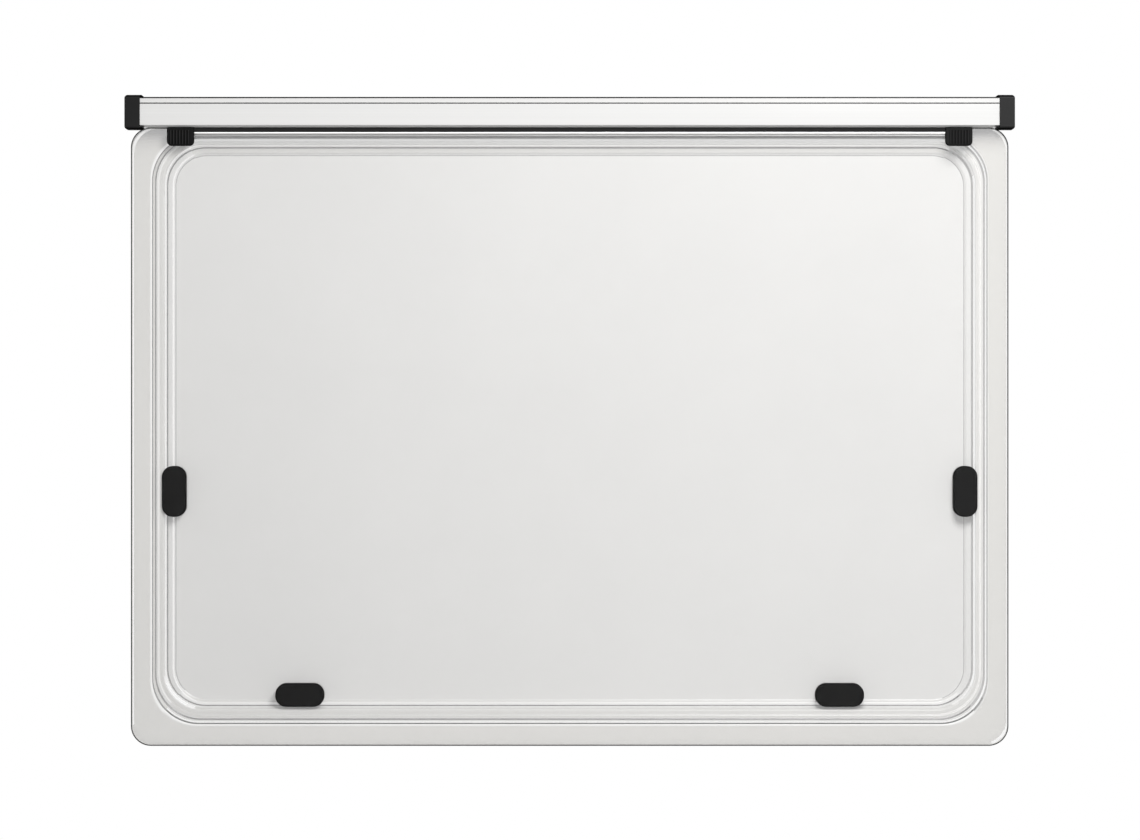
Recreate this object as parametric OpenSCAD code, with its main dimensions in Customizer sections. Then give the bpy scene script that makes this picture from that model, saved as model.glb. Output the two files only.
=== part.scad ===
// Top-hung caravan window: a double acrylic pane hanging from an aluminium hinge rail.
// The outside of the window faces -Y, the caravan wall stands behind the rail at y = 0,
// and z = 0 is the middle of the rail's height.

/* [Pane outline] */
// Width of the pane
pane_w = 677.3; // [560:0.1:900]
// Height of the pane
pane_h = 477.3; // [380:0.1:700]
// Corner radius of the pane
pane_corner_r = 15.5; // [12:0.5:22]
// How far the top edge of the pane stands up behind the rail
pane_lap = 0.4; // [0:0.1:0.8]

/* [Acrylic sheets] */
// Thickness of the flat outer sheet
outer_t = 3; // [2.5:0.1:4]
// Radius of the outer sheet's front edge
outer_edge_r = 1; // [0.3:0.1:1.1]
// Thickness of the formed inner sheet
inner_t = 2.1; // [1.8:0.1:2.5]
// Depth of the first step, from the bonded rim to the upper land
step1_depth = 6; // [4:0.5:8]
// Depth of the second step, from the upper land to the lower land
step2_depth = 8; // [5:0.5:11]
// Depth of the third step, from the lower land to the middle of the sheet
step3_depth = 1.5; // [1:0.1:3]
// Radius that softens each crease of the formed sheet
crease_r = 0.7; // [0.3:0.1:0.9]

/* [Steps at the sides] */
// Pane edge to the top of the first step
side_step1 = 16.2; // [14:0.1:17]
// Pane edge to the top of the second step
side_step2 = 25.1; // [23.5:0.1:25.5]
// Pane edge to the top of the third step
side_step3 = 31.9; // [31:0.1:33]
// How far the wall of the first step leans inwards
side_step1_run = 2.4; // [1.5:0.1:3]

/* [Steps at the top] */
// Pane edge to the top of the first step
top_step1 = 5.4; // [5:0.1:6.4]
// Pane edge to the top of the second step
top_step2 = 12.6; // [11.6:0.1:14]
// Pane edge to the top of the third step
top_step3 = 18.8; // [18:0.1:20.5]
// How far the wall of the first step leans inwards
top_step1_run = 1.9; // [1.2:0.1:2.6]

/* [Steps at the bottom] */
// Pane edge to the top of the first step
low_step1 = 16.5; // [15:0.1:17.5]
// Pane edge to the top of the second step
low_step2 = 27.9; // [26:0.1:28.8]
// Pane edge to the top of the third step
low_step3 = 33.1; // [32.5:0.1:35]
// How far the wall of the first step leans inwards
low_step1_run = 3.6; // [2.5:0.1:4.5]

/* [Step corners] */
// Corner radius of the first step
step1_corner_r = 36; // [30:0.5:40]
// Corner radius of the second step
step2_corner_r = 30.5; // [27:0.5:33]
// Corner radius of the third step
step3_corner_r = 26; // [22:0.5:28]
// How much smaller a corner is at the foot of a wall
corner_less = 1; // [0.5:0.1:2]
// How far the wall of the second step leans inwards
step2_run = 2.6; // [1.5:0.1:3.5]
// How far the wall of the third step leans inwards
step3_run = 1.6; // [1:0.1:2.2]

/* [Hinge rail] */
// How far the rail runs past the pane at each end
rail_over = 2; // [0:0.5:12]
// Height of the rail
rail_h = 23.6; // [22.6:0.1:28]
// Depth of the rail from the wall to its front face
rail_depth = 17; // [16.5:0.1:20]
// Wall thickness of the rail
rail_t = 1.4; // [1.2:0.1:1.6]
// Thickness of the flange that lies on the wall
flange_t = 2; // [1.6:0.1:2.6]
// Height of the front lip above the cover strip
lip_h = 4.4; // [3.5:0.1:5]
// Radius of the rail's front edges
rail_edge_r = 0.8; // [0.3:0.1:1]

/* [Screw holes] */
// Radius of the screw holes in the wall flange
screw_r = 2.1; // [1.5:0.1:2.5]
// Distance from one screw hole to the next
screw_pitch = 90; // [60:1:92]
// Least distance from the last screw hole to the end of the rail
screw_end = 20; // [12:1:30]
// Height of the screw holes above the middle of the rail
screw_z = 2; // [0:0.5:4]

/* [Cover strip] */
// Thickness of the snap-on cover strip
cover_t = 1.2; // [1:0.1:1.5]
// Thickness of the strip's snap legs
cover_leg_t = 1; // [0.8:0.1:1.2]
// How far the strip stops short of the underside of the rail
cover_stop = 1.5; // [1:0.1:2.2]
// Width of the fine joint between the lip and the strip
cover_gap = 0.6; // [0.2:0.1:0.8]

/* [Hinge] */
// Radius of the hinge bead on the pane
bead_r = 1.8; // [1.5:0.1:2]
// Running clearance round the bead
bead_gap = 0.2; // [0.1:0.05:0.3]
// Wall thickness of the socket
socket_wall = 1.1; // [0.9:0.1:1.3]
// Thickness of the arm between bead and pane
arm_t = 1.2; // [1:0.1:1.3]
// How far the pane can swing out
swing_deg = 45; // [30:1:50]

/* [Pane profile] */
// Thickness of the profile that grips the top edge of the pane
grip_t = 1.1; // [0.9:0.1:1.2]
// Clearance between the profile and the sheets
grip_gap = 0.1; // [0.05:0.05:0.2]
// How far the front leg reaches down the pane
front_leg = 6.5; // [5.4:0.1:6.7]
// How far the back leg reaches down the pane
back_leg = 3.4; // [2.8:0.1:3.6]
// Height of the lip that shows below the seal
ledge_h = 1.5; // [1.2:0.1:1.8]
// How far the lip stands in front of the front leg
ledge_out = 3.3; // [2.8:0.1:3.6]

/* [Seal] */
// Height of the rubber seal above the lip
seal_h = 2.9; // [2.4:0.1:3.2]
// How far the seal stands in front of the lip
seal_proud = 0.5; // [0.2:0.1:0.8]
// Width of the foot of the seal
seal_foot_w = 1; // [0.8:0.1:1.2]

/* [Hinge clips] */
// Width of a clip
clip_w = 20.9; // [16:0.1:24]
// Pane edge to the outer end of a clip
clip_side = 28.1; // [14:0.1:60]
// Height of the part of a clip that shows
clip_h = 13.8; // [12:0.1:16]
// Depth of a clip in front of the pane
clip_depth = 6.3; // [5.5:0.1:7]
// Radius of the lower corners of a clip
clip_corner_r = 3.6; // [2:0.1:4.5]
// Radius that softens the front edge of a clip
clip_edge_r = 0.8; // [0.4:0.1:1.2]
// Number of grip ribs
clip_ribs = 7; // [4:1:8]
// Spacing of the grip ribs
clip_rib_pitch = 2.3; // [1.9:0.1:2.4]
// How far the ribs stand off the middle of the clip, towards its outer end
clip_rib_shift = 0.6; // [0:0.1:0.8]
// Height of the smooth band above the ribs
clip_band = 1.6; // [1:0.1:3]
// Radius of a grip rib
clip_rib_r = 0.9; // [0.5:0.05:0.95]

/* [End caps] */
// Thickness of the end wall of a cap
cap_end_t = 2.4; // [2:0.1:4]
// How far a cap runs over the end of the rail
cap_lap = 9.4; // [6:0.1:12]
// Wall thickness above, below and in front of the rail
cap_wall = 1.4; // [1.2:0.1:1.8]
// Clearance between cap and rail
cap_gap = 0.15; // [0.05:0.05:0.25]
// Radius of the outer corners of a cap
cap_corner_r = 2.6; // [1.5:0.1:3.2]
// How far the nibs run past the mouth of a cap
cap_nib = 3.1; // [1.5:0.1:4]
// How far the guide tongue reaches into the rail
cap_tongue = 8; // [5:0.5:12]

/* [Catches] */
// Length of a side catch
side_catch_len = 39.3; // [32:0.1:42]
// Width of a side catch
side_catch_w = 18.7; // [17:0.1:20]
// Length of a bottom catch
low_catch_len = 37.6; // [32:0.1:42]
// Width of a bottom catch
low_catch_w = 18.1; // [17:0.1:20]
// Corner radius of a catch
catch_corner_r = 8.4; // [7:0.1:9]
// Radius that softens the front edge of a catch block
catch_edge_r = 1.4; // [0.8:0.1:1.8]
// Height of the side catches above the bottom edge of the pane
side_catch_up = 196.3; // [120:0.1:260]
// Pane edge to the middle of a side catch
side_catch_in = 32.9; // [32.5:0.1:36]
// Pane side to the middle of a bottom catch
low_catch_side = 130; // [90:0.1:200]
// Pane edge to the middle of a bottom catch
low_catch_in = 38.9; // [38.5:0.1:42]
// Gap between a catch block and the back of the outer sheet
block_gap = 3; // [2:0.1:4]
// Thickness of the adhesive film under a catch block
film_t = 0.15; // [0.1:0.05:0.3]

/* [Keepers] */
// Thickness of the rubber gasket under a keeper
gasket_t = 1; // [0.6:0.1:1.5]
// Thickness of the base of a keeper
keeper_base_t = 2.2; // [1.8:0.1:3]
// Height of the slot that takes the latch tongue
keeper_slot = 5; // [4.6:0.1:6]
// Thickness of the nose over the slot
keeper_nose_t = 2.6; // [2:0.1:3.2]
// Width of the post behind the slot
keeper_post = 5.5; // [4:0.1:6.5]
// How far the nose stops short of the edge of the catch block
keeper_back = 3.2; // [2.5:0.1:4]

/* [Smoothness] */
// Flat pieces in each corner of the formed sheet
corner_steps = 10; // [6:1:12]

/* [Hidden] */
$fn = 48;
eps = 0.01;
// Length by which a cut or a fused piece runs past the face it meets
over = 1;

// Heights of the rail and the pane
rail_top = rail_h / 2;
rail_low = -rail_h / 2;
pane_top = rail_low + pane_lap;
pane_low = pane_top - pane_h;

// The rail follows the pane, and its screws follow the rail
rail_len = pane_w + 2 * rail_over;
screw_pairs = floor((rail_len / 2 - screw_end) / screw_pitch + 0.5);

// Hinge axis: the socket lies just behind the cover strip and closes the rail's underside
socket_r = bead_r + bead_gap + socket_wall;
cover_back_gap = 0.1;
pivot_y = -rail_depth + cover_t + cover_back_gap + socket_r;
pivot_z = rail_low + socket_r;
swing_gap = 0.2;

// The sheets hang far enough behind the hinge axis to swing clear of the socket
grip_front = pivot_y + socket_r + swing_gap;
outer_front = grip_front + grip_t + grip_gap;
outer_back = outer_front + outer_t;
rim_back = outer_back + inner_t;
grip_back = rim_back + grip_gap + grip_t;
grip_top = pane_top + grip_gap + grip_t;

// The wall flange ends above the profile, so that the pane can swing
flange_low = grip_top + swing_gap;

// The arm runs from the hinge axis to the front upper corner of the pane profile
arm_end_y = grip_front + grip_t / 2;
arm_end_z = grip_top - grip_t / 2;
arm_len = norm([arm_end_y - pivot_y, arm_end_z - pivot_z]);
arm_deg = atan2(arm_end_y - pivot_y, pivot_z - arm_end_z);
arm_half_deg = asin(arm_t / 2 / (bead_r + bead_gap));
mouth_spare_deg = 3;
mouth_back_deg = arm_deg + arm_half_deg + mouth_spare_deg;
mouth_front_deg = arm_deg - swing_deg - arm_half_deg - mouth_spare_deg;

// Web of the rail above the hinge, and the rib that the cover strip snaps over
web_t = 1.2;
web_top = pivot_z + socket_r;
rib_w = 0.9;
rib_h = 1;
snap_gap = 0.1;
barb = 0.6;
return_leg = 3.6;
return_t = 1.2;

// Depths of the formed sheet's front face
land1_y = outer_back + step1_depth;
land2_y = land1_y + step2_depth;
middle_y = land2_y + step3_depth;
middle_back = middle_y + inner_t;

// Each crease of the formed sheet: inset at side, top and bottom, corner radius, depth
creases = [
    [side_step1, top_step1, low_step1, step1_corner_r, outer_back],
    [side_step1 + side_step1_run, top_step1 + top_step1_run, low_step1 + low_step1_run,
        step1_corner_r - corner_less, land1_y],
    [side_step2, top_step2, low_step2, step2_corner_r, land1_y],
    [side_step2 + step2_run, top_step2 + step2_run, low_step2 + step2_run,
        step2_corner_r - corner_less, land2_y],
    [side_step3, top_step3, low_step3, step3_corner_r, land2_y],
    [side_step3 + step3_run, top_step3 + step3_run, low_step3 + step3_run,
        step3_corner_r - corner_less, middle_y]];

// Where the flat middle of the sheet begins, seen from the back
side_flat = side_step3 + step3_run;
low_flat = low_step3 + step3_run;

// Seal and lip
ledge_top = rail_low - swing_gap - seal_h;
ledge_front = grip_front - ledge_out;
seal_foot_h = 0.9;
foot_gap = 0.1;

// Clips
clip_in = pane_w / 2 - clip_side - clip_w;
clip_root = 2;
clip_back = outer_front - grip_gap;
clip_front = clip_back - clip_depth;
clip_top = pivot_z - socket_r - swing_gap;

// Caps
cap_out = rail_len / 2 + cap_end_t;
cap_mouth = rail_len / 2 - cap_lap;
nib_taper = 1.8;
tongue_gap = 0.3;
tongue_back = -flange_t - tongue_gap;
tongue_front = -rail_depth + rail_t + return_leg + snap_gap + barb + tongue_gap;
tongue_top = rail_top - rail_t - tongue_gap;
tongue_low = web_top + tongue_gap;

// Keepers
keeper_foot_y = middle_back + gasket_t;
slot_floor_y = keeper_foot_y + keeper_base_t;
slot_roof_y = slot_floor_y + keeper_slot;
keeper_top_y = slot_roof_y + keeper_nose_t;
keeper_margin = 0.3;
keeper_edge_r = 1;

// Draws a profile given in (y, z) along the length of the window
module along_x(len) {
    rotate([90, 0, 90])
        linear_extrude(len, center = true)
            children();
}

// Draws an outline given in (x, z) from one depth to another
module through_y(from_y, to_y) {
    translate([0, to_y, 0])
        rotate([90, 0, 0])
            linear_extrude(to_y - from_y)
                children();
}

// Flat rectangle between two corners
module bar(low, high) {
    translate(low) square(high - low);
}

module rounded_rect(w, h, r) {
    square([w - 2 * r, h], center = true);
    square([w, h - 2 * r], center = true);
    for (sx = [-1, 1], sy = [-1, 1])
        translate([sx * (w / 2 - r), sy * (h / 2 - r)]) circle(r);
}

// Cross-section of a slab whose two upper edges are softened
module soft_section(w, t, edge) {
    bar([-w / 2, 0], [w / 2, t - edge]);
    bar([-w / 2 + edge, 0], [w / 2 - edge, t]);
    for (s = [-1, 1])
        translate([s * (w / 2 - edge), t - edge]) circle(edge, $fn = 24);
}

// Slab with round corners whose upper edge is softened, on z = 0
module soft_slab(w, h, t, r, edge) {
    rotate([90, 0, 90]) linear_extrude(w - 2 * r, center = true) soft_section(h, t, edge);
    rotate([90, 0, 0]) linear_extrude(h - 2 * r, center = true) soft_section(w, t, edge);
    for (sx = [-1, 1], sy = [-1, 1])
        translate([sx * (w / 2 - r), sy * (h / 2 - r)])
            rotate_extrude()
                intersection() {
                    soft_section(2 * r, t, edge);
                    square([r, t]);
                }
}

// Mirrors a right-hand piece to the left
module handed(side) {
    mirror([side < 0 ? 1 : 0, 0, 0]) children();
}

// Rail: wall flange, top, front lip and the socket of the hinge
module rail_profile() {
    difference() {
        union() {
            bar([-flange_t, flange_low], [0, rail_top]);
            bar([-rail_depth + rail_edge_r, rail_top - rail_t], [0, rail_top]);
            bar([-rail_depth, rail_top - lip_h], [-rail_depth + rail_t, rail_top - rail_edge_r]);
            translate([-rail_depth + rail_edge_r, rail_top - rail_edge_r]) circle(rail_edge_r);
            bar([-rail_depth, rail_top - lip_h], [-rail_depth + rail_t + return_leg, rail_top - lip_h + return_t]);
            bar([pivot_y, web_top - web_t], [-flange_t / 2, web_top]);
            translate([pivot_y, pivot_z]) circle(socket_r);
            bar([pivot_y - rib_w, web_top - web_t / 2], [pivot_y, web_top + rib_h]);
        }
        translate([pivot_y, pivot_z]) circle(bead_r + bead_gap);
        socket_mouth();
    }
}

// Opening of the socket that lets the arm swing
module socket_mouth() {
    reach = 2 * socket_r;
    middle_deg = (mouth_front_deg + mouth_back_deg) / 2;
    translate([pivot_y, pivot_z])
        polygon([[0, 0], for (a = [mouth_front_deg, middle_deg, mouth_back_deg])
            [reach * sin(a), -reach * cos(a)]]);
}

module hinge_rail() {
    color("gainsboro")
        difference() {
            along_x(rail_len) rail_profile();
            for (i = [1 : screw_pairs], side = [-1, 1])
                translate([side * (i - 0.5) * screw_pitch, 0, screw_z])
                    rotate([90, 0, 0]) cylinder(3 * flange_t, r = screw_r, center = true);
        }
}

// Cover strip: a flat face with an upper leg that hooks behind the lip's return
// and a lower leg that hooks behind the rib above the socket
module rail_cover() {
    top = rail_top - lip_h - cover_gap;
    low = rail_low + cover_stop;
    face_back = -rail_depth + cover_t;
    return_end = -rail_depth + rail_t + return_leg;
    rib_top = web_top + rib_h;
    color("gainsboro")
        along_x(rail_len) {
            bar([-rail_depth, low + cover_t / 2], [face_back, top]);
            translate([-rail_depth + cover_t / 2, low + cover_t / 2]) circle(cover_t / 2);
            bar([face_back - eps, top - cover_leg_t], [return_end + snap_gap + barb, top]);
            bar([return_end + snap_gap, top - eps], [return_end + snap_gap + barb, top + barb]);
            bar([face_back - eps, rib_top + snap_gap], [pivot_y + snap_gap + barb, rib_top + snap_gap + cover_leg_t]);
            bar([pivot_y + snap_gap, rib_top - barb], [pivot_y + snap_gap + barb, rib_top + snap_gap + eps]);
        }
}

// End cap: a moulded sleeve over the end of the rail with nibs above and below
module end_cap(side) {
    top = rail_top + cap_gap + cap_wall;
    low = rail_low - cap_gap - cap_wall;
    front = -rail_depth - cap_gap - cap_wall;
    color([0.14, 0.14, 0.14])
        handed(side)
            difference() {
                intersection() {
                    through_y(front, 0) cap_face(top, low);
                    along_x(2 * (cap_out + over)) cap_end(top, low, front);
                }
                difference() {
                    translate([0, -rail_depth - cap_gap, rail_low - cap_gap])
                        cube([rail_len / 2, rail_depth + cap_gap + over, rail_h + 2 * cap_gap]);
                    translate([(rail_len - cap_tongue) / 2, 0, 0]) along_x(cap_tongue) tongue_section();
                }
            }
}

// Hollow tongue between the wall flange and the snap legs
module tongue_section() {
    difference() {
        bar([tongue_front, tongue_low], [tongue_back, tongue_top]);
        bar([tongue_front + cap_wall, tongue_low + cap_wall], [tongue_back - cap_wall, tongue_top - cap_wall]);
    }
}

// Outline of a cap from the front
module cap_face(top, low) {
    r = cap_corner_r;
    bar([cap_mouth, low], [cap_out - r, top]);
    bar([cap_mouth, low + r], [cap_out, top - r]);
    translate([cap_out - r, top - r]) circle(r);
    translate([cap_out - r, low + r]) circle(r);
    cap_nib_outline(top, -1);
    cap_nib_outline(low, 1);
}

// A nib lies along the upper or lower edge of a cap and tapers towards its tip
module cap_nib_outline(edge, inwards) {
    root = cap_mouth + over;
    tip = cap_mouth - cap_nib;
    low = min(edge, edge + inwards * cap_wall);
    high = low + cap_wall;
    polygon([[root, low], [root, high],
        [inwards > 0 ? tip : tip + nib_taper, high],
        [inwards > 0 ? tip + nib_taper : tip, low]]);
}

// Outline of a cap from its end
module cap_end(top, low, front) {
    r = cap_corner_r;
    bar([front + r, low], [0, top]);
    bar([front, low + r], [0, top - r]);
    translate([front + r, top - r]) circle(r);
    translate([front + r, low + r]) circle(r);
}

// Bead and arm that hang the pane in the socket
module bead_and_arm() {
    translate([pivot_y, pivot_z]) {
        circle(bead_r);
        rotate(arm_deg - 90) translate([0, -arm_t / 2]) square([arm_len, arm_t]);
    }
}

// Web and back leg that go over the top edge of the pane
module grip_over_edge() {
    bar([grip_front, grip_top - grip_t], [grip_back, grip_top]);
    bar([grip_back - grip_t, pane_top - back_leg], [grip_back, grip_top]);
}

module pane_profile() {
    foot_y = ledge_front + ledge_out / 2;
    lip_r = ledge_h / 2;
    color("silver")
        along_x(2 * (clip_in - grip_gap))
            difference() {
                union() {
                    bead_and_arm();
                    grip_over_edge();
                    bar([grip_front, pane_top - front_leg], [grip_front + grip_t, grip_top]);
                    bar([ledge_front + lip_r, ledge_top - ledge_h], [grip_front + eps, ledge_top]);
                    translate([ledge_front + lip_r, ledge_top - lip_r]) circle(lip_r);
                }
                bar([foot_y - seal_foot_w / 2 - foot_gap, ledge_top - seal_foot_h - foot_gap],
                    [foot_y + seal_foot_w / 2 + foot_gap, ledge_top + over]);
            }
}

// Rubber seal: a bulb that closes the gap under the rail, with a foot in the lip's groove
module hinge_seal() {
    foot_y = ledge_front + ledge_out / 2;
    front = ledge_front - seal_proud;
    nose_r = seal_h / 3;
    top = ledge_top + seal_h;
    color([0.1, 0.1, 0.1])
        along_x(2 * (clip_in - grip_gap)) {
            bar([front + nose_r, ledge_top], [grip_front - foot_gap, top]);
            bar([front, ledge_top + nose_r], [front + nose_r + eps, top - nose_r]);
            translate([front + nose_r, ledge_top + nose_r]) circle(nose_r);
            translate([front + nose_r, top - nose_r]) circle(nose_r);
            bar([foot_y - seal_foot_w / 2, ledge_top - seal_foot_h], [foot_y + seal_foot_w / 2, ledge_top + eps]);
        }
}

// Ribbed clip that closes each end of the pane profile and turns in the same socket
module hinge_clip(side) {
    low = clip_top - clip_h;
    rib_margin = (clip_w - (clip_ribs - 1) * clip_rib_pitch) / 2;
    rib_start = rib_margin - clip_w / 2 + clip_rib_shift;
    rib_low = low + clip_corner_r / 3;
    color([0.12, 0.12, 0.12])
        handed(side)
            translate([clip_in + clip_w / 2, 0, 0]) {
                along_x(clip_w) {
                    bead_and_arm();
                    grip_over_edge();
                    bar([grip_front, clip_top - clip_root], [clip_back, grip_top]);
                }
                clip_body(low);
                for (i = [0 : clip_ribs - 1])
                    translate([rib_start + i * clip_rib_pitch, clip_front, rib_low])
                        cylinder(clip_top - clip_band - rib_low, r = clip_rib_r);
            }
}

// Body of a clip: the lower half of a soft-edged slab
module clip_body(low) {
    intersection() {
        translate([0, clip_back, clip_top])
            rotate([90, 0, 0]) soft_slab(clip_w, 2 * clip_h, clip_depth, clip_corner_r, clip_edge_r);
        through_y(clip_front - over, clip_back)
            bar([-clip_w, low - over], [clip_w, clip_top]);
    }
}

module outer_pane() {
    color([0.85, 0.86, 0.86, 0.6])
        translate([0, outer_back, (pane_top + pane_low) / 2])
            rotate([90, 0, 0]) soft_slab(pane_w, pane_h, outer_t, pane_corner_r, outer_edge_r);
}

// Formed inner sheet: one skin lofted through rounded rectangles that step back from the rim.
// A crease's wall leans, so the back face's crease lies a little further out than the front's.
function lean(i) = let (a = creases[i - i % 2], b = creases[i - i % 2 + 1])
    inner_t * tan(atan2(b[4] - a[4], b[0] - a[0]) / 2);
function back_crease(i) = let (c = creases[i], s = lean(i))
    [c[0] - s, c[1] - s, c[2] - s, c[3] + s, c[4] + inner_t];
function mix(a, b, f) = a + (b - a) * f;
function span(a, b) = norm([b[0] - a[0], b[4] - a[4]]);
// A crease is drawn as two lines, one on each side of the sharp corner
function softened(path) = [for (i = [0 : len(path) - 1])
    if (i == 0) path[0]
    else if (i == len(path) - 1) each [before(path, i), path[i]]
    else each [before(path, i), mix(path[i], path[i + 1], crease_r / 2 / span(path[i], path[i + 1]))]];
function before(path, i) = mix(path[i], path[i - 1], crease_r / 2 / span(path[i], path[i - 1]));
function loop_at(c) = let (
        x = pane_w / 2 - c[0] - c[3],
        up = pane_top - c[1] - c[3],
        down = pane_low + c[2] + c[3],
        centres = [[x, up], [-x, up], [-x, down], [x, down]])
    [for (q = [0 : 3], k = [0 : corner_steps])
        let (a = 90 * q + 90 * k / corner_steps)
        [centres[q][0] + c[3] * cos(a), c[4], centres[q][1] + c[3] * sin(a)]];

module inner_pane() {
    front_path = [[0, 0, 0, pane_corner_r, outer_back], for (i = [0 : 5]) creases[i]];
    back_path = [[0, 0, 0, pane_corner_r, rim_back], for (i = [0 : 5]) back_crease(i)];
    front_loops = [for (c = softened(front_path)) loop_at(c)];
    back_loops = [for (c = softened(back_path)) loop_at(c)];
    last = len(front_loops) - 1;
    loops = [for (i = [last : -1 : 0]) front_loops[i], for (i = [0 : last]) back_loops[i]];
    n = len(loops[0]);
    m = len(loops);
    color([0.86, 0.87, 0.87, 0.6])
        polyhedron(
            points = [for (l = loops) each l],
            faces = concat(
                [[for (k = [0 : n - 1]) k]],
                [for (j = [0 : m - 2], k = [0 : n - 1])
                    [j * n + k, (j + 1) * n + k, (j + 1) * n + (k + 1) % n, j * n + (k + 1) % n]],
                [[for (k = [n - 1 : -1 : 0]) (m - 1) * n + k]]));
}

// Puts a piece at an edge of the pane: its own x runs along the edge, its z into the pane
module at_edge(place) {
    up = pane_low + side_catch_up;
    low_catch_out = pane_w / 2 - low_catch_side;
    if (place == "left") translate([-pane_w / 2, 0, up]) rotate([0, 90, 0]) children();
    if (place == "right") translate([pane_w / 2, 0, up]) rotate([0, -90, 0]) children();
    if (place == "low_left") translate([-low_catch_out, 0, pane_low]) children();
    if (place == "low_right") translate([low_catch_out, 0, pane_low]) children();
}
function at_side(place) = place == "left" || place == "right";
function catch_len(place) = at_side(place) ? side_catch_len : low_catch_len;
function catch_w(place) = at_side(place) ? side_catch_w : low_catch_w;
function catch_in(place) = at_side(place) ? side_catch_in : low_catch_in;
function flat_from(place) = at_side(place) ? side_flat : low_flat;

// Catch block: an oval between the sheets, shaped to sit on the steps of the formed sheet
module catch_block(place) {
    column = at_side(place) ? 0 : 2;
    front = outer_back + block_gap;
    film = [for (c = creases) [c[4] - film_t, c[column]]];
    deep = middle_y - front;
    reach = catch_in(place) + catch_w(place);
    color([0.13, 0.13, 0.13])
        at_edge(place)
            intersection() {
                translate([0, middle_y, catch_in(place)])
                    rotate([90, 0, 0]) soft_slab(catch_len(place), catch_w(place), deep, catch_corner_r, catch_edge_r);
                along_x(catch_len(place) + 2 * over)
                    polygon(concat([[front - over, 0], [outer_back - film_t, 0]], film,
                        [[middle_y - film_t, reach], [front - over, reach]]));
            }
}

// The part of a catch's outline that rests on the flat middle of the sheet
module foot_outline(place) {
    v = catch_in(place);
    intersection() {
        translate([0, v]) rounded_rect(catch_len(place), catch_w(place), catch_corner_r);
        bar([-catch_len(place), flat_from(place) + keeper_margin], [catch_len(place), v + catch_w(place)]);
    }
}

module keeper_gasket(place) {
    color([0.2, 0.2, 0.2])
        at_edge(place)
            through_y(middle_back, keeper_foot_y) foot_outline(place);
}

// Keeper: base, post and nose round a slot that takes the latch tongue from the frame side
module keeper(place) {
    v = catch_in(place);
    inner = v + catch_w(place) / 2;
    nose_from = v - catch_w(place) / 2 + keeper_back;
    color([0.13, 0.13, 0.13])
        at_edge(place) {
            through_y(keeper_foot_y, slot_floor_y + eps) foot_outline(place);
            through_y(slot_floor_y, slot_roof_y)
                intersection() {
                    foot_outline(place);
                    bar([-catch_len(place), inner - keeper_post], [catch_len(place), inner]);
                }
            intersection() {
                translate([0, slot_roof_y - eps, v])
                    rotate([-90, 0, 0])
                        soft_slab(catch_len(place), catch_w(place), keeper_nose_t, catch_corner_r, keeper_edge_r);
                through_y(slot_roof_y - eps, keeper_top_y)
                    bar([-catch_len(place), nose_from], [catch_len(place), inner]);
            }
        }
}

hinge_rail();
rail_cover();
end_cap(-1);  // end_cap_left
end_cap(1);  // end_cap_right
pane_profile();
hinge_seal();
hinge_clip(-1);  // hinge_clip_left
hinge_clip(1);  // hinge_clip_right
outer_pane();
inner_pane();
catch_block("left");  // catch_block_left
catch_block("right");  // catch_block_right
catch_block("low_left");  // catch_block_low_left
catch_block("low_right");  // catch_block_low_right
keeper_gasket("left");  // keeper_gasket_left
keeper_gasket("right");  // keeper_gasket_right
keeper_gasket("low_left");  // keeper_gasket_low_left
keeper_gasket("low_right");  // keeper_gasket_low_right
keeper("left");  // keeper_left
keeper("right");  // keeper_right
keeper("low_left");  // keeper_low_left
keeper("low_right");  // keeper_low_right
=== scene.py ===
import math

import bmesh
import bpy
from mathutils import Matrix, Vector


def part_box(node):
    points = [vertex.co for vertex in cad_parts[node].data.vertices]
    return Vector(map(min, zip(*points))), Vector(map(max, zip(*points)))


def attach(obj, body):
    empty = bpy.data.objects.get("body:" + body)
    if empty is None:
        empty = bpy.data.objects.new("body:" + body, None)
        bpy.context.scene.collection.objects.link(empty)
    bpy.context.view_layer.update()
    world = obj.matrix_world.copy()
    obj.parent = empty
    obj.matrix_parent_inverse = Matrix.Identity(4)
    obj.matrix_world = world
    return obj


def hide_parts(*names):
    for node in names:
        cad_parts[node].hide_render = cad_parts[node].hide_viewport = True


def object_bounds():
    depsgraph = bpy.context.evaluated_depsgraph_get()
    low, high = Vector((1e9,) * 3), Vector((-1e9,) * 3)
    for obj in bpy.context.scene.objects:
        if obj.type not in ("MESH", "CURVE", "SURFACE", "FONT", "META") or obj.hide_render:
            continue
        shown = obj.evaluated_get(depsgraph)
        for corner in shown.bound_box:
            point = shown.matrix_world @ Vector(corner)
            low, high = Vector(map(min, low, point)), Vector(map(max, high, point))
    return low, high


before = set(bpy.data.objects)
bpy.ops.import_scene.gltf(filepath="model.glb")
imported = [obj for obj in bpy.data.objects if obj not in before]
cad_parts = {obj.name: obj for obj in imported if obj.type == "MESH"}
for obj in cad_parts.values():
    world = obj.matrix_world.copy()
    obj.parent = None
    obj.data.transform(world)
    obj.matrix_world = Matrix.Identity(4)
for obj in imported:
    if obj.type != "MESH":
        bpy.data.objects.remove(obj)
cadLow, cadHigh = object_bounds()
mm = 0.001
print("frame:", len(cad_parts), "nodes")


# Shader helpers

def startFinish(name):
    finish = bpy.data.materials.new(name)
    finish.use_nodes = True
    tree = finish.node_tree
    tree.nodes.clear()
    output = tree.nodes.new("ShaderNodeOutputMaterial")
    skin = tree.nodes.new("ShaderNodeBsdfPrincipled")
    tree.links.new(skin.outputs[0], output.inputs[0])
    return finish, tree, skin


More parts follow.
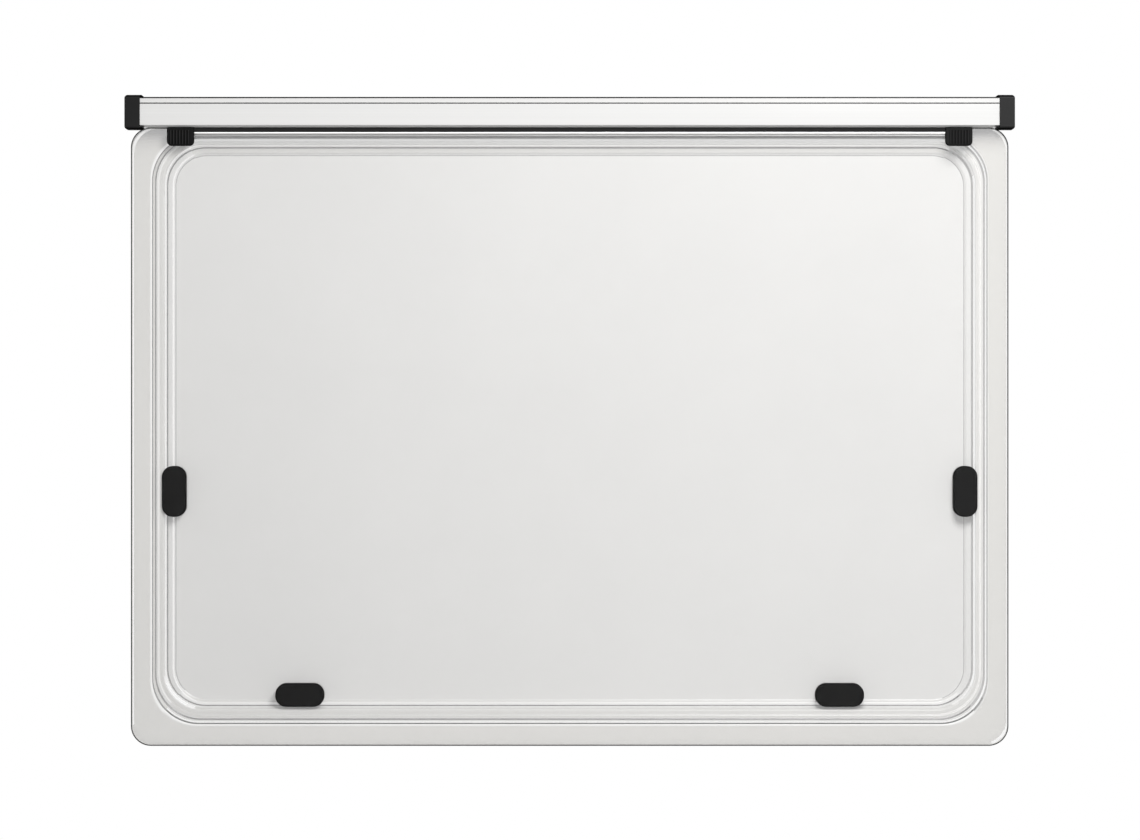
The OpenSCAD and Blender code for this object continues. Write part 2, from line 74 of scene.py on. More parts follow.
def grain(tree, stretch, detail, roughness=0.55):
    # noise in the part's own coordinates, so stretch is in waves per metre
    place = tree.nodes.new("ShaderNodeTexCoord")
    spread = tree.nodes.new("ShaderNodeMapping")
    spread.inputs["Scale"].default_value = stretch
    noise = tree.nodes.new("ShaderNodeTexNoise")
    noise.inputs["Scale"].default_value = 1
    noise.inputs["Detail"].default_value = detail
    noise.inputs["Roughness"].default_value = roughness
    tree.links.new(place.outputs["Object"], spread.inputs["Vector"])
    tree.links.new(spread.outputs["Vector"], noise.inputs["Vector"])
    return noise.outputs["Fac"]


def ranged(tree, value, low, high, fromLow=0.3, fromHigh=0.7):
    fit = tree.nodes.new("ShaderNodeMapRange")
    fit.inputs["From Min"].default_value = fromLow
    fit.inputs["From Max"].default_value = fromHigh
    fit.inputs["To Min"].default_value = low
    fit.inputs["To Max"].default_value = high
    tree.links.new(value, fit.inputs["Value"])
    return fit.outputs["Result"]


def blended(tree, value, first, second):
    mix = tree.nodes.new("ShaderNodeMix")
    mix.data_type = "RGBA"
    mix.inputs["A"].default_value = (*first, 1)
    mix.inputs["B"].default_value = (*second, 1)
    tree.links.new(ranged(tree, value, 0, 1), mix.inputs["Factor"])
    return mix.outputs["Result"]


def bumped(tree, skin, value, height, strength):
    bump = tree.nodes.new("ShaderNodeBump")
    bump.inputs["Distance"].default_value = height
    bump.inputs["Strength"].default_value = strength
    tree.links.new(value, bump.inputs["Height"])
    tree.links.new(bump.outputs["Normal"], skin.inputs["Normal"])


def grey(level, warmth=0.0):
    return (level, level * (1 - warmth / 3), level * (1 - warmth))


def toned(tree, value, level, tones, warmth=0.0):
    # a grey that wanders between two shares of its level
    darker, lighter = tones
    return blended(tree, value, grey(level * darker, warmth), grey(min(1, level * lighter), warmth))


def aboveHeight(tree, low, high):
    # 0 below the low height, 1 above the high one
    place = tree.nodes.new("ShaderNodeTexCoord")
    apart = tree.nodes.new("ShaderNodeSeparateXYZ")
    tree.links.new(place.outputs["Object"], apart.inputs["Vector"])
    return ranged(tree, apart.outputs["Z"], 0, 1, low, high)


def darkened(tree, colour, amount, level):
    mix = tree.nodes.new("ShaderNodeMix")
    mix.data_type = "RGBA"
    mix.inputs["B"].default_value = (*grey(level), 1)
    tree.links.new(colour, mix.inputs["A"])
    tree.links.new(amount, mix.inputs["Factor"])
    return mix.outputs["Result"]


def raised(tree, value, power, scale):
    bend = tree.nodes.new("ShaderNodeMath")
    bend.operation = "POWER"
    bend.inputs[1].default_value = power
    size = tree.nodes.new("ShaderNodeMath")
    size.operation = "MULTIPLY"
    size.inputs[1].default_value = scale
    tree.links.new(value, bend.inputs[0])
    tree.links.new(bend.outputs[0], size.inputs[0])
    return size.outputs[0]


# Finishes, with their grain in waves per metre

anodised = {
    "dieLines": (0.6, 700, 900),     # drawn along the extrusion
    "clouds": (7, 60, 60),
    "tones": (0.97, 1.02),
    "warmth": 0.015,
    "dullness": (-0.01, 0.015),      # how far the roughness wanders
    "lineDepth": 0.002 * mm,
    "lineStrength": 0.4,
    # painted shade: near-black band above a given height, for the shade at an edge or joint
    "paintedShadeLevel": 0.01,
    "paintedShadeFade": 0.05 * mm,
}


def anodisedAluminium(name, level, dull, paintedShadeAbove=None, metal=1):
    s = anodised
    finish, tree, skin = startFinish(name)
    drawn = grain(tree, s["dieLines"], 3)
    cloud = grain(tree, s["clouds"], 2)
    skin.inputs["Metallic"].default_value = metal
    colour = toned(tree, drawn, level, s["tones"], s["warmth"])
    # painted shade: above this height the colour turns near black
    if paintedShadeAbove:
        line = aboveHeight(tree, paintedShadeAbove, paintedShadeAbove + s["paintedShadeFade"])
        colour = darkened(tree, colour, line, s["paintedShadeLevel"])
    tree.links.new(colour, skin.inputs["Base Color"])
    smoother, duller = s["dullness"]
    tree.links.new(ranged(tree, cloud, dull + smoother, dull + duller), skin.inputs["Roughness"])
    bumped(tree, skin, drawn, s["lineDepth"], s["lineStrength"])
    return finish


moulding = {
    "spark": (2600, 2600, 2600),     # spark-eroded mould grain
    "clouds": (90, 90, 90),
    "tones": (0.85, 1.2),
    "dullness": (-0.06, 0.08),
    "sparkDepth": 0.03 * mm,
    "sparkStrength": 0.5,
}


def mouldedPlastic(name, level, dull, shine):
    s = moulding
    finish, tree, skin = startFinish(name)
    spark = grain(tree, s["spark"], 2)
    cloud = grain(tree, s["clouds"], 3)
    skin.inputs["Specular IOR Level"].default_value = shine
    tree.links.new(toned(tree, cloud, level, s["tones"]), skin.inputs["Base Color"])
    smoother, duller = s["dullness"]
    tree.links.new(ranged(tree, spark, dull + smoother, dull + duller), skin.inputs["Roughness"])
    bumped(tree, skin, spark, s["sparkDepth"], s["sparkStrength"])
    return finish


extrudedRubber = {
    "dieLines": (5, 1500, 1500),     # left by the extrusion die
    "dust": (160, 300, 300),
    "tones": (0.8, 1.4),
    "shine": 0.2,
    "roughness": (0.68, 0.85),
    "lineDepth": 0.02 * mm,
    "lineStrength": 0.6,
}


def sealRubber(name, level):
    s = extrudedRubber
    finish, tree, skin = startFinish(name)
    lines = grain(tree, s["dieLines"], 3)
    dust = grain(tree, s["dust"], 4)
    skin.inputs["Specular IOR Level"].default_value = s["shine"]
    tree.links.new(toned(tree, dust, level, s["tones"]), skin.inputs["Base Color"])
    tree.links.new(ranged(tree, dust, *s["roughness"]), skin.inputs["Roughness"])
    bumped(tree, skin, lines, s["lineDepth"], s["lineStrength"])
    return finish


acrylic = {
    "haze": (11, 11, 11),
    "wipe": (30, 30, 30),            # where a cloth has passed
    "tones": (0.985, 1.015),
    "refraction": 1.49,
    "dullness": 0.02,
    "shadePower": 3.2,               # how fast the rail's painted shade falls off
}


def clearAcrylic(name, level, solidness, dull, warmth=0.02, shine=0.5, paintedRailShade=None):
    # the last argument gives low and high height and depth of a painted shade under the rail
    s = acrylic
    finish, tree, skin = startFinish(name)
    haze = grain(tree, s["haze"], 4)
    wipe = grain(tree, s["wipe"], 3)
    skin.inputs["IOR"].default_value = s["refraction"]
    skin.inputs["Specular IOR Level"].default_value = shine
    skin.inputs["Alpha"].default_value = solidness
    colour = toned(tree, haze, level, s["tones"], warmth)
    if paintedRailShade:
        low, high, depth = paintedRailShade
        fall = raised(tree, aboveHeight(tree, low, high), s["shadePower"], depth)
        colour = darkened(tree, colour, fall, 0)
    tree.links.new(colour, skin.inputs["Base Color"])
    tree.links.new(ranged(tree, wipe, dull, dull + s["dullness"]), skin.inputs["Roughness"])
    return finish


print("finishes defined")


# Shape helpers

def addPiece(name, mesh, replaced, finishes):
    piece = bpy.data.objects.new(name, mesh)
    bpy.context.scene.collection.objects.link(piece)
    for finish in finishes:
        mesh.materials.append(finish)
    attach(piece, "root")
    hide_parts(replaced)
    return piece


softening = {
    "weld": 0.001 * mm,              # doubled points closer than this are joined
    "flat": math.radians(0.6),       # faces that bend less than this are merged
    "sharp": math.radians(32),       # edges that bend more than this are rounded
    "flatWeight": 100,               # how much the big faces rule the shading
}


def softCopy(name, nodeName, finishes, width, segments=3, pick=None):
    # the frame's own shape with every sharp edge rounded; pick gives a face's finish number
    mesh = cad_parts[nodeName].data.copy()
    mesh.materials.clear()
    if "custom_normal" in mesh.attributes:
        mesh.attributes.remove(mesh.attributes["custom_normal"])
    shape = bmesh.new()
    shape.from_mesh(mesh)
    bmesh.ops.remove_doubles(shape, verts=shape.verts, dist=softening["weld"])
    bmesh.ops.dissolve_limit(
        shape, angle_limit=softening["flat"], verts=shape.verts, edges=shape.edges)
    for face in shape.faces:
        face.smooth = True
        face.material_index = pick(face.normal, face.calc_center_median()) if pick else 0
    shape.to_mesh(mesh)
    shape.free()
    piece = addPiece(name, mesh, nodeName, finishes)
    rounding = piece.modifiers.new("softEdges", "BEVEL")
    rounding.width = width
    rounding.segments = segments
    rounding.limit_method = "ANGLE"
    rounding.angle_limit = softening["sharp"]
    rounding.harden_normals = True
    rounding.use_clamp_overlap = True
    shading = piece.modifiers.new("flatFaces", "WEIGHTED_NORMAL")
    shading.weight = softening["flatWeight"]
    shading.keep_sharp = True
    return piece


def roundedLoop(size, depth):
    # size: half width, top, bottom, corner radius and pieces in each corner
    halfWide, top, low, radius, pieces = size
    loop = []
    corners = [(halfWide, top), (-halfWide, top), (-halfWide, low), (halfWide, low)]
    for quarter, (x, z) in enumerate(corners):
        cx = x - math.copysign(radius, x)
        cz = z - radius if quarter < 2 else z + radius
        for step in range(pieces + 1):
            turn = math.radians(90 * (quarter + step / pieces))
            loop.append(Vector((cx + radius * math.cos(turn), depth, cz + radius * math.sin(turn))))
    return loop


def loftRings(name, rings, bands, ends=(0, 0)):
    # joins rings of equal length and closes both ends; bands gives the finish number
    # of each face in each strip, and ends that of the two closing faces
    shape = bmesh.new()
    rows = [[shape.verts.new(p) for p in ring] for ring in rings]
    count = len(rows[0])
    for row, nextRow, band in zip(rows, rows[1:], bands):
        for k in range(count):
            face = shape.faces.new((row[k], nextRow[k], nextRow[(k + 1) % count], row[(k + 1) % count]))
            face.smooth = True
            face.material_index = band[k]
    for row, band in ((rows[0], ends[0]), (rows[-1][::-1], ends[1])):
        face = shape.faces.new(row)
        face.smooth = True
        face.material_index = band
    bmesh.ops.recalc_face_normals(shape, faces=shape.faces)
    mesh = bpy.data.meshes.new(name)
    shape.to_mesh(mesh)
    shape.free()
    return mesh


# Outer sheet

outerSheet = {
    "cornerRadius": 15.5 * mm,
    "cornerPieces": 24,
    "frontRound": 1.0 * mm,      # polished front edge
    "backRound": 0.15 * mm,
    "roundPieces": 5,
    "holding": 0.5 * mm,         # flat strip that keeps the shading of the big faces flat
    "level": 0.12,
    "solidness": 0.03,
    "dull": 0.08,
    # painted shade: the rounded edge is darker and more solid, for the dark that refraction shows there
    "edgeLevel": 0.05,
    "edgeSolidness": 0.88,
    "edgeDull": 0.4,
}


def makeOuterSheet(s):
    low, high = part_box("outer_pane")
    faceFinish = clearAcrylic("outerSheetClear", s["level"], s["solidness"], s["dull"])
    edgeFinish = clearAcrylic(
        "outerSheetEdge", s["edgeLevel"], s["edgeSolidness"], s["edgeDull"], shine=0)
    rings, bands = [], []

    def ring(inset, depth, band):
        radius = s["cornerRadius"] - inset
        size = (high.x - inset, high.z - inset, low.z + inset, radius, s["cornerPieces"])
        rings.append(roundedLoop(size, depth))
        bands.append([band] * len(rings[-1]))

    front, back = s["frontRound"], s["backRound"]
    ring(front + s["holding"], low.y, 0)
    for k in range(s["roundPieces"] + 1):
        turn = math.radians(90 * k / s["roundPieces"])
        ring(front * (1 - math.sin(turn)), low.y + front * (1 - math.cos(turn)), 1)
    for k in range(s["roundPieces"] + 1):
        turn = math.radians(90 * k / s["roundPieces"])
        ring(back * (1 - math.cos(turn)), high.y - back * (1 - math.sin(turn)), 1)
    bands[-1] = [0] * len(rings[-1])
    ring(back + s["holding"], high.y, 0)
    mesh = loftRings("outerSheet", rings, bands)
    addPiece("outerSheet", mesh, "outer_pane", [faceFinish, edgeFinish])


makeOuterSheet(outerSheet)
print("outer sheet ready")


# Formed inner sheet

formedSheet = {
    "thickness": 2.1,            # measures of this sheet are in mm
    "cornerRadius": 15.5,
    "cornerPieces": 28,
    # each step: inset of its top at side, top and bottom, corner radius there,
    # how far its wall leans at side, top and bottom, its depth, and the softening of top and foot
    "steps": [
        ((16.2, 5.4, 16.5, 36.0), (2.4, 1.9, 3.6), 6.0, (0.9, 0.9)),
        ((25.1, 12.6, 27.9, 30.5), (2.6, 2.6, 2.6), 8.0, (1.5, 0.9)),
        ((31.9, 18.8, 33.1, 26.0), (1.6, 1.6, 1.6), 1.5, (0.9, 0.9)),
    ],
    "cornerLess": 1.0,           # a corner is this much smaller at the foot of a wall
    "softPieces": 6,
    "softShare": 0.45,           # most that a softened crease takes of a wall or land
    "holding": 0.5,              # flat strip that keeps the shading of the middle flat
    "bondLine": 0.03,            # glue between the two rims
    "dull": 0.22,
    # painted highlights and painted shade: bright and dark bands standing in for the lines the bends throw
    # by refraction and light; from, to and kind, with insets from the sheet's own edge on that side
    "left": [
        (1.2, 2.2, "glint"), (14.9, 16.2, "gleam"), (16.2, 16.9, "shade"), (16.9, 18.3, "dusk"),
        (18.3, 19.3, "shade"), (20.7, 21.6, "pale"), (21.6, 24.6, "land"), (24.6, 25.7, "dusk"),
        (25.7, 26.8, "gleam"), (27.1, 28.1, "shade"), (31.4, 32.6, "gleam"), (33.4, 34.3, "faint"),
    ],
    "right": [
        (0.7, 1.7, "glint"), (15.9, 16.8, "faint"), (16.9, 17.9, "glint"), (18.0, 19.4, "faint"),
        (19.9, 24.2, "land"), (25.4, 26.6, "glint"), (26.8, 28.2, "faint"), (33.3, 34.0, "faint"),
    ],
    "top": [
        (6.2, 8.2, "shade"), (8.6, 10.4, "gleam"), (13.0, 14.7, "pale"), (14.8, 15.7, "shade"),
        (16.1, 18.4, "land"), (20.7, 21.6, "faint"),
    ],
    "bottom": [
        (15.5, 16.7, "gleam"), (16.7, 17.5, "dark"), (17.5, 17.9, "dusk"), (17.9, 18.6, "glint"),
        (19.7, 20.9, "shade"), (21.2, 29.2, "land"), (30.2, 31.1, "shade"), (31.6, 33.0, "pale"),
        (33.3, 34.6, "land"),
    ],
    # where the lines of a side hand over to those of the top or bottom, as a share of the corner
    "turn": {"top": 0.75, "bottom": 0.5},
    # lines of one corner alone: side insets, kind, and the share of the corner from and to
    "corners": {
        ("left", "top"): [(1.2, 2.6, "gleam", 0, 1)],
        ("right", "top"): [
            (0.7, 1.8, "gleam", 0, 0.7), (19.9, 24.4, "pale", 0.5, 0.76), (25.4, 26.6, "pale", 0.15, 0.5),
            (25.4, 26.6, "sheet", 0.5, 0.76),
        ],
        ("left", "bottom"): [
            (1.0, 3.0, "rim", 0.1, 1), (25.0, 26.6, "glint", 0.2, 0.7), (24.6, 26.8, "gleam", 0.1, 0.85),
        ],
        ("right", "bottom"): [
            (0.9, 1.9, "glint", 0.25, 0.8), (16.1, 16.9, "shade", 0.3, 0.5), (33.3, 34.0, "faint", 0.4, 0.8),
            (25.4, 26.6, "gleam", 0.3, 0.5), (25.4, 26.6, "pale", 0.5, 0.7),
            (26.6, 27.1, "sheet", 0.35, 0.5), (27.1, 28.4, "faint", 0.35, 0.5),
        ],
    },
    "shadeReach": 30,            # painted shade of the rail on the rim, soft, down from the top edge
    "shadeStart": 4,             # where it is deepest
    "shadeDepth": 0.9,
    # level, solidness and warmth of each kind; glint, gleam and pale are painted highlights, land, dusk,
    # faint, shade, dark and edge painted shade, rim is darker and carries the painted shade of the rail,
    # sheet and back are the sheet's own tone
    "kinds": {
        "rim": (0.605, 0.58, 0.09),
        "land": (0.66, 0.74, 0.05),
        "sheet": (0.715, 0.74, 0.03),
        "glint": (0.98, 0.1, 0.03),
        "gleam": (0.93, 0.4, 0.04),
        "pale": (0.9, 0.55, 0.04),
        "dusk": (0.66, 0.74, 0.05),
        "faint": (0.4, 0.72, 0.03),
        "shade": (0.18, 0.78, 0.03),
        "dark": (0.08, 0.88, 0.02),
        "edge": (0.05, 0.88, 0.02),
        "back": (0.8, 0.05, 0.03),
    },
}


# A row is one ring of the sheet: its inset at side, top and bottom, corner radius and depth
inward = (1, 1, 1, -1, 0)        # what a row gains for each mm towards the middle


def mixRows(a, b, share):
    return tuple(p + (q - p) * share for p, q in zip(a, b))


def moveInward(row, distance):
    return tuple(value + distance * gain for value, gain in zip(row, inward))


def softenRows(rows, reaches, s):
    # rounds each crease with a curve that starts its reach before it
    def towards(crease, other, reach):
        span = math.hypot(other[0] - crease[0], other[4] - crease[4])
        return mixRows(crease, other, min(s["softShare"], reach / span))

    made = [rows[0]]
    for i in range(1, len(rows)):
        crease, reach = rows[i], reaches[i - 1]
        before = towards(crease, rows[i - 1], reach)
        last = i == len(rows) - 1
        after = moveInward(crease, reach) if last else towards(crease, rows[i + 1], reach)
        for k in range(s["softPieces"] + 1):
            t = k / s["softPieces"]
            made.append(mixRows(mixRows(before, crease, t), mixRows(crease, after, t), t))
    made.append(moveInward(made[-1], s["holding"]))
    return made


def cutRows(rows, column, insets):
    # adds a row at each inset that falls between two rows
    made = [rows[0]]
    for row in rows[1:]:
        for inset in sorted(i for i in insets if made[-1][column] < i < row[column]):
            before = made[-1][column]
            made.append(mixRows(made[-1], row, (inset - before) / (row[column] - before)))
        made.append(row)
    return made


def placeOf(k, pieces):
    # the nearest side, the nearest of top and bottom, and how far a face lies round
    # the corner from the first to the second
    quarter, step = divmod(k, pieces + 1)
    share = 1 if step == pieces else (step + 0.5) / pieces
    side = ("right", "left", "left", "right")[quarter]
    return side, "top" if quarter < 2 else "bottom", share if quarter in (0, 2) else 1 - share


def makeFormedSheet(s):
    outerLow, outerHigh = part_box("outer_pane")
    thick = s["thickness"]
    front = [(0, 0, 0, s["cornerRadius"], 0)]
    back = [(0, 0, 0, s["cornerRadius"], thick)]
    reaches = []
    for top, leans, depth, soft in s["steps"]:
        topRow = (*top, front[-1][4])
        footInsets = [inset + run for inset, run in zip(top, leans)]
        footRow = (*footInsets, top[3] - s["cornerLess"], topRow[4] + depth)
        # the back's creases lie further out by the sheet's thickness
        shift = thick * math.tan(math.atan2(depth, leans[0]) / 2)
        for row in (topRow, footRow):
            front.append(row)
            back.append((row[0] - shift, row[1] - shift, row[2] - shift, row[3] + shift, row[4] + thick))
        reaches.extend(soft)

    def ringAt(row):
        size = (outerHigh.x - row[0] * mm, outerHigh.z - row[1] * mm, outerLow.z + row[2] * mm,
                row[3] * mm, s["cornerPieces"])
        return roundedLoop(size, outerHigh.y + (s["bondLine"] + row[4]) * mm)

    kinds = list(s["kinds"])
    columns = {"left": 0, "right": 0, "top": 1, "bottom": 2}
    frontRows = softenRows(front, reaches, s)
    for side, column in columns.items():
        frontRows = cutRows(frontRows, column, [inset for line in s[side] for inset in line[:2]])
    cornerLines = [line for lines in s["corners"].values() for line in lines]
    frontRows = cutRows(frontRows, 0, [inset for line in cornerLines for inset in line[:2]])
    backRows = softenRows(back, reaches, s)
    count = 4 * (s["cornerPieces"] + 1)
    places = [placeOf(k, s["cornerPieces"]) for k in range(count)]

    def kindAt(place, before, after):
        side, end, share = place
        middle = mixRows(before, after, 0.5)
        for low, high, kind, shareLow, shareHigh in s["corners"][side, end]:
            if low < middle[0] < high and shareLow < share < shareHigh:
                return kinds.index(kind)
        nearest = side if share < s["turn"][end] else end
        for low, high, kind in s[nearest]:
            if low < middle[columns[nearest]] < high:
                return kinds.index(kind)
        return kinds.index("sheet" if after[4] > 0 else "rim")

    bands = [[kindAt(place, a, b) for place in places] for a, b in zip(frontRows, frontRows[1:])][::-1]
    bands.append([kinds.index("edge")] * count)
    bands.extend([[kinds.index("back")] * count] * (len(backRows) - 1))
    rings = [ringAt(row) for row in frontRows[::-1] + backRows]
    shadeLow, shadeHigh = (outerHigh.z - s[reach] * mm for reach in ("shadeReach", "shadeStart"))
    finishes = []
    for kind, (level, solidness, warmth) in s["kinds"].items():
        paintedRailShade = (shadeLow, shadeHigh, s["shadeDepth"]) if kind == "rim" else None
        finishes.append(clearAcrylic(
            "formedSheet" + kind.title(), level, solidness, s["dull"], warmth, paintedRailShade=paintedRailShade))
    mesh = loftRings("formedSheet", rings, bands, (kinds.index("sheet"), kinds.index("back")))
    addPiece("formedSheet", mesh, "inner_pane", finishes)


makeFormedSheet(formedSheet)
print("formed sheet ready")


# Rail, profile and seal

rail = {
    "level": 0.765,
    "dull": 0.085,
    "metal": 0.48,               # the anodised skin is half matt
    "paintedTopShade": 1.1 * mm,         # painted shade: dark line painted along the top, for the shade of the turned-over edge
    "paintedJointShade": 0.3 * mm,       # and painted shade along the cover strip's joint, below the gap
    "coverTop": 6.8 * mm,
    "edge": (0.015, 0.8, 0),     # level, roughness and shine of the turned-over edges, near black as painted shade
    "underside": (0.5, 0.6),     # level and roughness of the underside, darker than the front as painted shade
    # painted highlight on the lip and painted shade on the leg below it, two levels of one aluminium
    "lip": (0.95, 0.4),
    "leg": (0.36, 0.5),
    "lipDepth": 1.6 * mm,        # the profile is lip further than this before the sheet
    "rubberLevel": 0.007,
    "softEdge": 0.1 * mm,
    # how squarely a face looks forward to count as front, turned-over edge or underside
    "faceTilt": 0.99,
    "edgeTilt": 0.25,
    "undersideTilt": 0.05,
}


def makeRail(s):
    railTop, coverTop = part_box("hinge_rail")[1].z, s["coverTop"]
    satin = s["level"], s["dull"]
    face = anodisedAluminium("railSatinAnodised", *satin, railTop - s["paintedTopShade"], s["metal"])
    plain = anodisedAluminium("railPlainAnodised", *satin, metal=s["metal"])
    cover = anodisedAluminium("coverSatinAnodised", *satin, coverTop - s["paintedJointShade"], s["metal"])
    edge = mouldedPlastic("railEdgePaintedShade", *s["edge"])
    under = anodisedAluminium("railUndersidePaintedShade", *s["underside"])
    lip = anodisedAluminium("profileLip", *s["lip"])
    leg = anodisedAluminium("profileLeg", *s["leg"])
    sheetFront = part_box("outer_pane")[0].y

    # front faces carry the painted top shade; turned-over edges and underside are painted shade
    def pickRail(normal, centre):
        if normal.y < -s["faceTilt"]:
            return 0
        if normal.y < -s["edgeTilt"] and (normal.z > 0 or centre.z > 0):
            return 1
        return 2 if normal.y < -s["undersideTilt"] and normal.z < 0 else 3

    def pickProfile(normal, centre):
        return 0 if centre.y < sheetFront - s["lipDepth"] else 1

    softCopy("railBody", "hinge_rail", [face, edge, under, plain],
             s["softEdge"], pick=pickRail)
    softCopy("coverStrip", "rail_cover", [cover, edge, under, plain],
             s["softEdge"], pick=pickRail)
    softCopy("paneProfile", "pane_profile", [lip, leg],
             s["softEdge"], pick=pickProfile)
    rubber = sealRubber("sealBlackRubber", s["rubberLevel"])
    softCopy("hingeSeal", "hinge_seal", [rubber], s["softEdge"], 2)


makeRail(rail)
print("rail ready")


# Moulded pieces

moulded = {
    # level, roughness and shine of each black
    "rim": (0.002, 0.7, 0.03),       # the darker rim round caps, clips and blocks, painted shade of their turned edges
    "cap": (0.006, 0.5, 0.15),
    "clip": (0.003, 0.5, 0.09),
    "crown": (0.007, 0.5, 0.13),     # tops of the clip's ribs, painted paler than their sides as a painted highlight
    "block": (0.006, 0.6, 0.06),
    "keeper": (0.02, 0.5, 0.3),
    "gasketLevel": 0.03,
    "capRound": 0.3 * mm,
    "clipRound": 0.12 * mm,
    "blockRound": 0.2 * mm,
    "ribDepth": 0.85 * mm,
    # how squarely a face looks forward to count as front or crown
    "faceTilt": 0.9,
    "crownTilt": 0.75,
}


def makeMoulded(s):
    rim = mouldedPlastic("blackNylonRim", *s["rim"])
    cap = mouldedPlastic("capBlackNylon", *s["cap"])
    clip = mouldedPlastic("clipBlackNylon", *s["clip"])
    crown = mouldedPlastic("clipRibCrown", *s["crown"])
    block = mouldedPlastic("blockBlackNylon", *s["block"])
    keeper = mouldedPlastic("keeperBlackNylon", *s["keeper"])
    gasket = sealRubber("gasketSoftRubber", s["gasketLevel"])

    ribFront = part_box("hinge_clip_left")[0].y

    def pick(normal, centre):
        return 0 if normal.y < -s["faceTilt"] else 1

    def pickClip(normal, centre):
        if centre.y < ribFront + s["ribDepth"]:
            return 2 if normal.y < -s["crownTilt"] else 1
        return pick(normal, centre)

    for side in ("left", "right"):
        softCopy("endCap_" + side, "end_cap_" + side, [cap, rim],
                 s["capRound"], pick=pick)
        softCopy("hingeClip_" + side, "hinge_clip_" + side, [clip, rim, crown],
                 s["clipRound"], 2, pickClip)
    for place in ("left", "right", "low_left", "low_right"):
        softCopy("catchBlock_" + place, "catch_block_" + place, [block, rim],
                 s["blockRound"], pick=pick)
        softCopy("keeper_" + place, "keeper_" + place, [keeper], s["blockRound"])
        softCopy("gasket_" + place, "keeper_gasket_" + place, [gasket],
                 s["clipRound"], 2)


makeMoulded(moulded)
print("moulded pieces ready")


# Camera

camera = {
    "away": 6.0,
    "frameWidth": 879.7 * mm,    # what the picture spans at the face of the pane
    "centreX": 0.25 * mm,
    "centreZ": -237.2 * mm,
    "sensor": 36.0,
    "clip": (0.1, 100),
}


def makeCamera(s):
    lens = bpy.data.cameras.new("camera")
    lens.sensor_width = s["sensor"]
    lens.lens = s["sensor"] * s["away"] / s["frameWidth"]
    lens.clip_start, lens.clip_end = s["clip"]
    eye = bpy.data.objects.new("camera", lens)
    eye.location = (s["centreX"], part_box("outer_pane")[0].y - s["away"], s["centreZ"])
    eye.rotation_euler = (math.radians(90), 0, 0)
    bpy.context.scene.collection.objects.link(eye)
    bpy.context.scene.camera = eye


makeCamera(camera)
print("camera ready")


# Light, floor and background

studio = {
    "keyPlace": (0.32, -1.1, 0.42),
    "keyAim": (0.28, 0, -0.35),
    "keySize": 0.6,
    "keyWatts": 17.4,
    "ambient": 0.32,
    "floorDrop": 0.12,           # below the window's lowest edge
    "floorSize": 60.0,
    "floorGrey": 0.5,
    "floorWhite": 0.84,          # share of plain white that the camera sees near the window
    "whiteReach": (0.25, 0.75),  # the floor turns plain white between these distances
}


def makeLamp(name, place, aim, size, watts):
    lamp = bpy.data.lights.new(name, "AREA")
    lamp.shape = "DISK"
    lamp.size = size
    lamp.energy = watts
    holder = bpy.data.objects.new(name, lamp)
    holder.location = place
    holder.rotation_euler = (Vector(aim) - Vector(place)).to_track_quat("-Z", "Y").to_euler()
    bpy.context.scene.collection.objects.link(holder)


def seenDirectly(tree):
    # 1 for rays from the camera, mirrors and glass, 0 for the light that falls on things
    path = tree.nodes.new("ShaderNodeLightPath")
    total = None
    for ray in ("Is Camera Ray", "Is Glossy Ray", "Is Transmission Ray"):
        if total is None:
            total = path.outputs[ray]
            continue
        add = tree.nodes.new("ShaderNodeMath")
        add.operation = "MAXIMUM"
        tree.links.new(total, add.inputs[0])
        tree.links.new(path.outputs[ray], add.inputs[1])
        total = add.outputs[0]
    return total


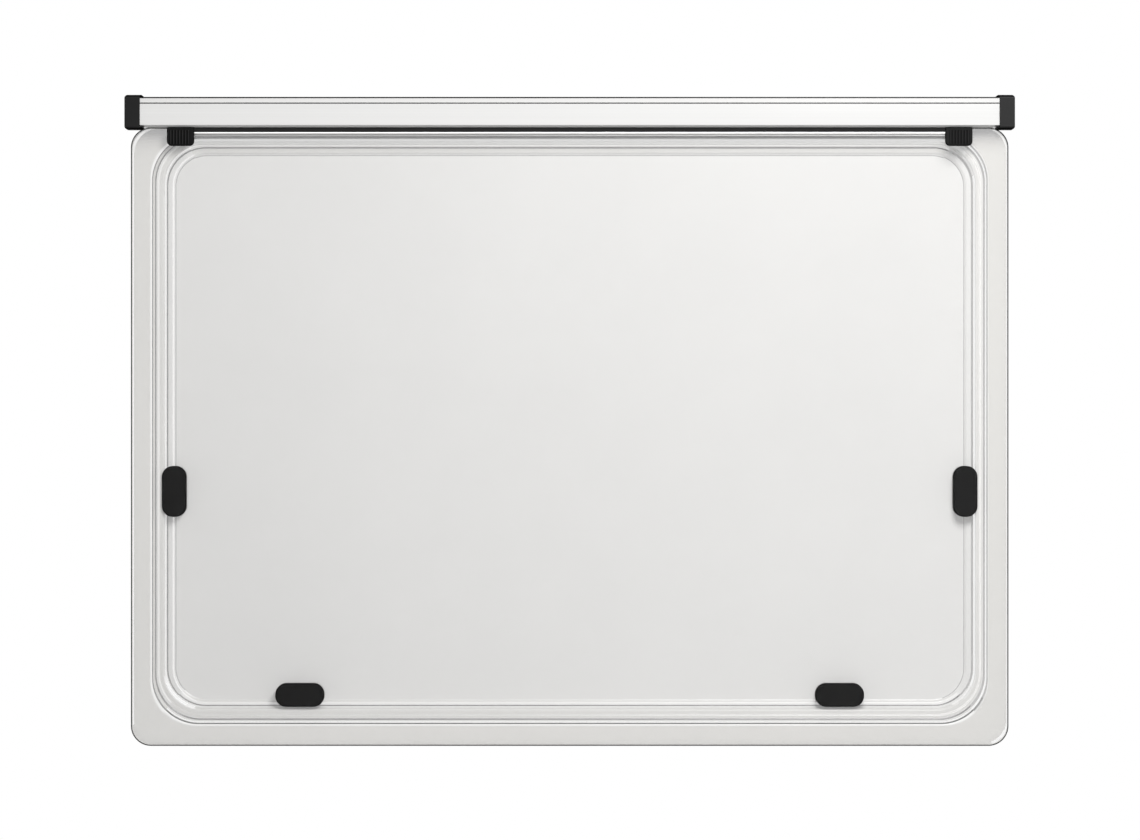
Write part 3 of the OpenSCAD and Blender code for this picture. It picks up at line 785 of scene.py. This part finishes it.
def makeWorld(s):
    world = bpy.data.worlds.new("studio")
    world.use_nodes = True
    tree = world.node_tree
    tree.nodes.clear()
    output = tree.nodes.new("ShaderNodeOutputWorld")
    mix = tree.nodes.new("ShaderNodeMixShader")
    room = tree.nodes.new("ShaderNodeBackground")
    white = tree.nodes.new("ShaderNodeBackground")
    room.inputs["Strength"].default_value = s["ambient"]
    room.inputs["Color"].default_value = (1, 1, 1, 1)
    white.inputs["Color"].default_value = (1, 1, 1, 1)
    white.inputs["Strength"].default_value = 1
    tree.links.new(seenDirectly(tree), mix.inputs[0])
    tree.links.new(room.outputs[0], mix.inputs[1])
    tree.links.new(white.outputs[0], mix.inputs[2])
    tree.links.new(mix.outputs[0], output.inputs[0])
    bpy.context.scene.world = world


def makeFloor(s):
    size = s["floorSize"] / 2
    mesh = bpy.data.meshes.new("floor")
    corners = [(-size, -size, 0), (size, -size, 0), (size, size, 0), (-size, size, 0)]
    mesh.from_pydata(corners, [], [(0, 1, 2, 3)])
    floor = bpy.data.objects.new("floor", mesh)
    floor.location.z = cadLow.z - s["floorDrop"]
    bpy.context.scene.collection.objects.link(floor)
    finish = bpy.data.materials.new("paleFloor")
    finish.use_nodes = True
    tree = finish.node_tree
    tree.nodes.clear()
    output = tree.nodes.new("ShaderNodeOutputMaterial")
    paint = tree.nodes.new("ShaderNodeBsdfDiffuse")
    paint.inputs["Color"].default_value = (*grey(s["floorGrey"]), 1)
    white = tree.nodes.new("ShaderNodeEmission")
    place = tree.nodes.new("ShaderNodeTexCoord")
    away = tree.nodes.new("ShaderNodeVectorMath")
    away.operation = "LENGTH"
    tree.links.new(place.outputs["Object"], away.inputs[0])
    share = tree.nodes.new("ShaderNodeMath")
    share.operation = "MULTIPLY"
    whiteness = ranged(tree, away.outputs["Value"], s["floorWhite"], 1, *s["whiteReach"])
    tree.links.new(whiteness, share.inputs[1])
    mix = tree.nodes.new("ShaderNodeMixShader")
    tree.links.new(seenDirectly(tree), share.inputs[0])
    tree.links.new(share.outputs[0], mix.inputs[0])
    tree.links.new(paint.outputs[0], mix.inputs[1])
    tree.links.new(white.outputs[0], mix.inputs[2])
    tree.links.new(mix.outputs[0], output.inputs[0])
    mesh.materials.append(finish)


makeLamp("keyLamp", studio["keyPlace"], studio["keyAim"], studio["keySize"], studio["keyWatts"])
makeWorld(studio)
makeFloor(studio)
bpy.context.scene.view_settings.view_transform = "Standard"
print("studio ready")
